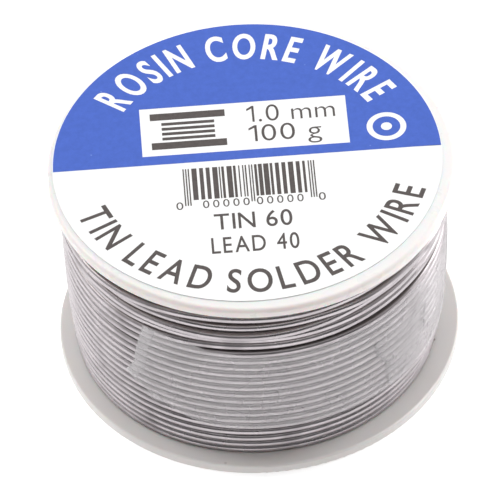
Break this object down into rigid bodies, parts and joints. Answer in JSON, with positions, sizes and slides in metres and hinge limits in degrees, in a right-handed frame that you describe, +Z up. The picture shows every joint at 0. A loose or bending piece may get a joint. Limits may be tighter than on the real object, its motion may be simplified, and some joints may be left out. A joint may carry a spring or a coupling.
{
  "type": "solder wire spool",
  "caption": "Round flanged plastic spool wound with solder wire, with clear tape round the winding, a paper label on top and a spindle bore in the underside.",
  "frame": {"origin": "centre of the underside, on the spool's axis, at the bounding box's bottom centre", "axes": "+Z up the spool's axis towards the labelled flange; the label reads upright seen from -Y, with +X to the right"},
  "size_m": [0.044, 0.044, 0.0257],
  "materials": {
    "body_plastic": "satin, slightly translucent off-white",
    "flange_plastic": "glossy white",
    "paper": "smooth printed paper, blue and white",
    "solder": "drawn tin-lead alloy, satin grey",
    "rosin": "amber rosin",
    "clear_tape": "clear adhesive film"
  },
  "bodies": {
    "root": {"spool_body": "body_plastic", "upper_flange": "flange_plastic", "top_label": "paper", "solder_layer_1": "solder", "solder_layer_2": "solder", "solder_layer_3": "solder", "solder_layer_4": "solder", "solder_layer_5": "solder", "solder_layer_6": "solder", "solder_layer_7": "solder", "wire_start_tail": "solder", "wire_free_end": "solder", "flux_core": "rosin", "tape_strip": "clear_tape", "tape_overlap": "clear_tape"}
  },
  "joints": []
}
